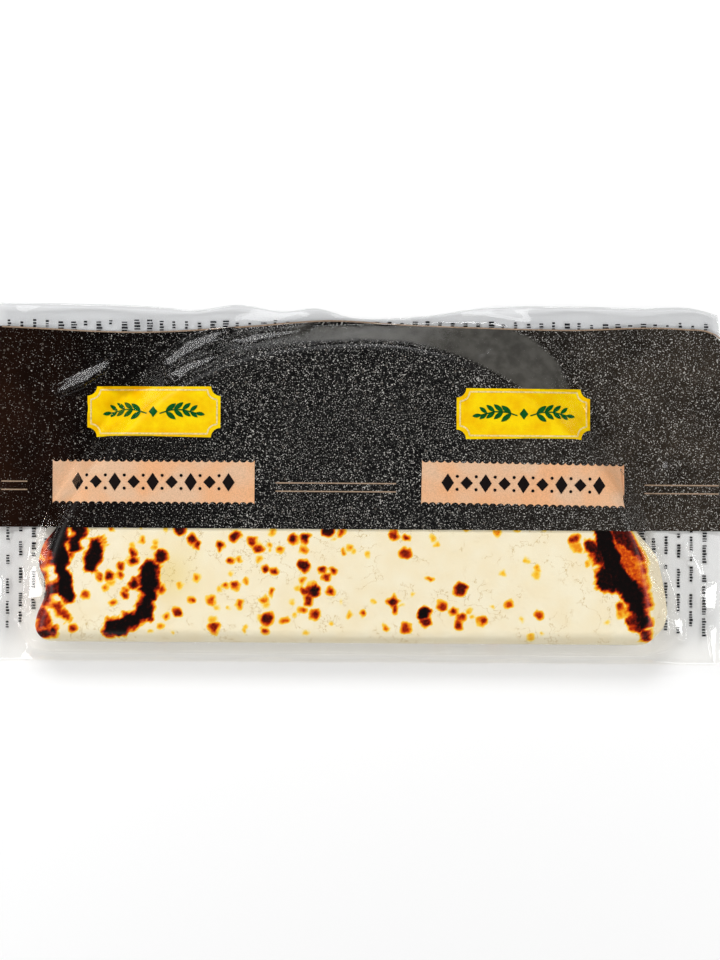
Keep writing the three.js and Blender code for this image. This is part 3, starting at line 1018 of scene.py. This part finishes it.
def film_material():
    """Clear film that reflects a little: it shines less where it is matte, and its tint is greyer above the
    cut.
    """
    material, tree = new_material("clear_film")
    matte = attribute(tree, "matte")
    normal = bump(tree, noise(tree, place_in_mm(tree), 0.35, 2.0), 0.04, 0.5)
    facing = node(tree, "ShaderNodeLayerWeight", {"Blend": 0.5, "Normal": normal}).outputs["Facing"]
    straight = maths(tree, "MULTIPLY_ADD", matte, MATTE_GLOSS - STRAIGHT_GLOSS, STRAIGHT_GLOSS)
    grazing = maths(tree, "POWER", facing, FILM_POWER)
    gloss = maths(tree, "MULTIPLY_ADD", grazing, GRAZING_GLOSS, straight)
    tint = mix_colour(tree, attribute(tree, "greying"), CLEAR_TINT, GREYER_TINT)
    clear = node(tree, "ShaderNodeBsdfTransparent", {"Color": tint})
    rough_share = maths(tree, "POWER", matte, FILM_POWER)
    rougher = MATTE_ROUGHNESS - LOOSE_ROUGHNESS
    roughness = maths(tree, "MULTIPLY_ADD", rough_share, rougher, LOOSE_ROUGHNESS)
    inputs = {"Color": grey(1), "Roughness": roughness, "Normal": normal}
    shine = node(tree, "ShaderNodeBsdfAnisotropic", inputs)
    mixed = node(tree, "ShaderNodeMixShader", {0: gloss, 1: clear.outputs[0], 2: shine.outputs[0]})
    surface(tree, mixed.outputs[0])
    return material


def printed(tree, colour, roughness=0.6):
    """Ink under film: its own surface hardly shines."""
    inputs = {"Base Color": colour, "Roughness": roughness, "Specular IOR Level": 0.0}
    surface(tree, node(tree, "ShaderNodeBsdfPrincipled", inputs).outputs[0])


def ink_material():
    """Dark ink, speckled where it is pressed to what is under it; where it stands off, free of specks and
    painted lighter and greyer as a sheen.
    """
    material, tree = new_material("dark_ink")
    place = place_in_mm(tree)
    across = node(tree, "ShaderNodeSeparateXYZ", {0: place}).outputs[0]
    across = from_range(tree, across, -HALF_LENGTH, HALF_LENGTH)
    base = ramp(
        tree, across, (0.0, srgb(28, 13, 6)), (0.13, srgb(8, 4, 3)), (0.3, srgb(7, 7, 7)),
        (0.62, srgb(12, 12, 12)), (0.92, srgb(42, 36, 30)),
    )
    cloud = mottled(tree, place, (0.35, grey(0.75)), (0.65, grey(1.5)), 0.06)
    base = mix_colour(tree, 1.0, base, cloud, "MULTIPLY")
    density = ramp(tree, across, (0.05, grey(0)), (0.35, grey(1)))
    grain = maths(tree, "MULTIPLY_ADD", density, 0.07, noise(tree, place, 2.4, 1.0, 0.5))
    specks = from_range(tree, grain, 0.675, 0.79)
    speckled = mix_colour(tree, specks, base, srgb(212, 209, 203))
    cells = node(tree, "ShaderNodeTexVoronoi", {"Vector": place, "Scale": 0.3, "Randomness": 0.7})
    dots = from_range(tree, cells.outputs["Distance"], 0.16, 0.08)
    speckled = mix_colour(tree, maths(tree, "MULTIPLY", dots, 0.45), speckled, srgb(120, 112, 104))
    lines = hairlines(tree, place, 0.014, 0.5, 3.0, 0.65)
    lines = maths(tree, "MULTIPLY", lines, maths(tree, "MULTIPLY", density, 0.3))
    speckled = mix_colour(tree, lines, speckled, srgb(112, 110, 108))
    # Painted sheen where the film stands off: a lighter grey, without specks
    smooth = mottled(tree, place, (0.35, srgb(72, 70, 66)), (0.65, srgb(90, 88, 83)), 0.25)
    printed(tree, mix_colour(tree, attribute(tree, "standoff_sheen"), speckled, smooth))
    return material


def plain_ink(name, rgb):
    """An ink of one hue, uneven as print is."""
    material, tree = new_material(name)
    darker = srgb(*(0.8 * value for value in rgb))
    printed(tree, mottled(tree, place_in_mm(tree), (0.3, darker), (0.6, srgb(*rgb)), 1.2, roughness=0.6))
    return material


def badge_material():
    material, tree = new_material("badge_ink")
    low, high = (0.35, srgb(244, 190, 2)), (0.65, srgb(252, 218, 8))
    printed(tree, mottled(tree, place_in_mm(tree), low, high, 0.16, roughness=0.6))
    return material


def strip_material():
    """Peach ink with a fine paper-like grain."""
    material, tree = new_material("strip_ink")
    place = place_in_mm(tree)
    cloud = mottled(tree, place, (0.35, srgb(242, 184, 138)), (0.65, srgb(234, 194, 160)), 0.09, 2.0)
    grain = mottled(tree, place, (0.35, grey(0.82)), (0.6, grey(1)), 2.2, 2.0, 0.7)
    printed(tree, mix_colour(tree, 1.0, cloud, grain, "MULTIPLY"))
    return material


def cheese_material():
    """Cream curd with hairline cracks, which browns from yellow through orange and red-brown to char."""
    material, tree = new_material("cheese_curd")
    place = place_in_mm(tree)
    cream = mottled(tree, place, (0.35, srgb(247, 233, 199)), (0.65, srgb(249, 239, 211)), 0.12, 4.0)
    yellowing = maths(tree, "MULTIPLY", attribute(tree, "yellowing"), 0.8)
    curd = mix_colour(tree, yellowing, cream, srgb(238, 216, 150))
    curd = mix_colour(tree, attribute(tree, "paleness"), curd, srgb(241, 228, 198))
    line = hairlines(tree, place, 0.01, 0.16, 5.0, 0.6)
    places = from_range(tree, noise(tree, place, 0.11, 1.0), 0.48, 0.56)
    crack = maths(tree, "MULTIPLY", maths(tree, "MULTIPLY", line, places), 0.85)
    curd = mix_colour(tree, crack, curd, srgb(200, 168, 92))
    uneven = maths(tree, "MULTIPLY_ADD", noise(tree, place, 0.8, 4.0, 0.65), UNEVEN_HEAT, -UNEVEN_HEAT / 2)
    raw_heat = attribute(tree, "browning")
    toasted = maths(tree, "MINIMUM", maths(tree, "MULTIPLY", raw_heat, 2), 1)
    heat = maths(tree, "MULTIPLY_ADD", toasted, uneven, raw_heat)
    toast = ramp(
        tree, heat, (0.12, srgb(253, 224, 106)), (0.24, srgb(252, 194, 48)), (0.36, srgb(242, 142, 20)),
        (0.48, srgb(218, 82, 8)), (0.6, srgb(172, 40, 5)), (0.72, srgb(110, 18, 4)), (0.84, srgb(52, 8, 4)),
        (0.93, srgb(18, 3, 3)), (1.0, srgb(7, 2, 2)),
    )
    shows = from_range(tree, heat, 0.04, 0.17)
    colour = mix_colour(tree, shows, curd, toast)
    relief = maths(tree, "MULTIPLY_ADD", heat, 0.8, noise(tree, place, 0.8, 4.0))
    inputs = {"Base Color": colour, "Roughness": 0.55, "Specular IOR Level": 0.03}
    inputs["Normal"] = bump(tree, relief, 0.3, 0.3)
    surface(tree, node(tree, "ShaderNodeBsdfPrincipled", inputs).outputs[0])
    return material


def floor_material():
    material, tree = new_material("pale_floor")
    shader = node(tree, "ShaderNodeBsdfDiffuse", {"Color": grey(FLOOR_SHADE)})
    surface(tree, shader.outputs[0])
    return material


# Stage

def build_floor():
    mesh = bpy.data.meshes.new("floor")
    signs = [(-1, -1), (1, -1), (1, 1), (-1, 1)]
    corners = [(FLOOR_HALF * x, FLOOR_HALF * y, -FLOOR_GAP * MM) for x, y in signs]
    mesh.from_pydata(corners, [], [(0, 1, 2, 3)])
    mesh.materials.append(floor_material())
    floor = add_object("floor", mesh)


def add_light(name, azimuth, elevation, distance, size, radiance):
    """A rectangular soft light aimed at the object."""
    light = bpy.data.lights.new(name, "AREA")
    light.shape = "RECTANGLE"
    light.size, light.size_y = size
    light.energy = LIGHT_POWER * radiance * size[0] * size[1]
    lamp = add_object(name, light)
    a, e = math.radians(azimuth), math.radians(elevation)
    lamp.location = distance * Vector((math.cos(a) * math.cos(e), math.sin(a) * math.cos(e), math.sin(e)))
    lamp.rotation_euler = (-lamp.location).to_track_quat("-Z", "Y").to_euler()


def build_lights():
    for light in LIGHTS:
        add_light(*light)
    world = bpy.data.worlds.new("studio")
    world.use_nodes = True
    background = world.node_tree.nodes["Background"]
    background.inputs["Color"].default_value = grey(1)
    background.inputs["Strength"].default_value = WORLD_STRENGTH
    bpy.context.scene.world = world
    bpy.context.scene.view_settings.view_transform = "Standard"


def build_camera():
    camera = bpy.data.cameras.new("camera")
    camera.sensor_fit = "VERTICAL"
    camera.sensor_height = SENSOR
    camera.lens = LENS
    viewer = add_object("camera", camera)
    distance = FRAME_PIXELS[1] * PIXEL * LENS / SENSOR
    viewer.location = Vector((*VIEW_CENTRE, VIEW_PLANE + distance)) * MM
    viewer.rotation_euler = (0, 0, VIEW_TURN)
    bpy.context.scene.camera = viewer


def build_pouch():
    x, y = film_plan()
    upper, lower, gap = film_layers(x, y)
    build_film(x, y, upper, lower, gap)
    build_band(x, y, upper, gap)
    build_badges()
    build_sprigs()
    build_strips()
    build_rules()
    build_back_print()


build_camera()
build_lights()
build_floor()
build_cheese()
build_pouch()
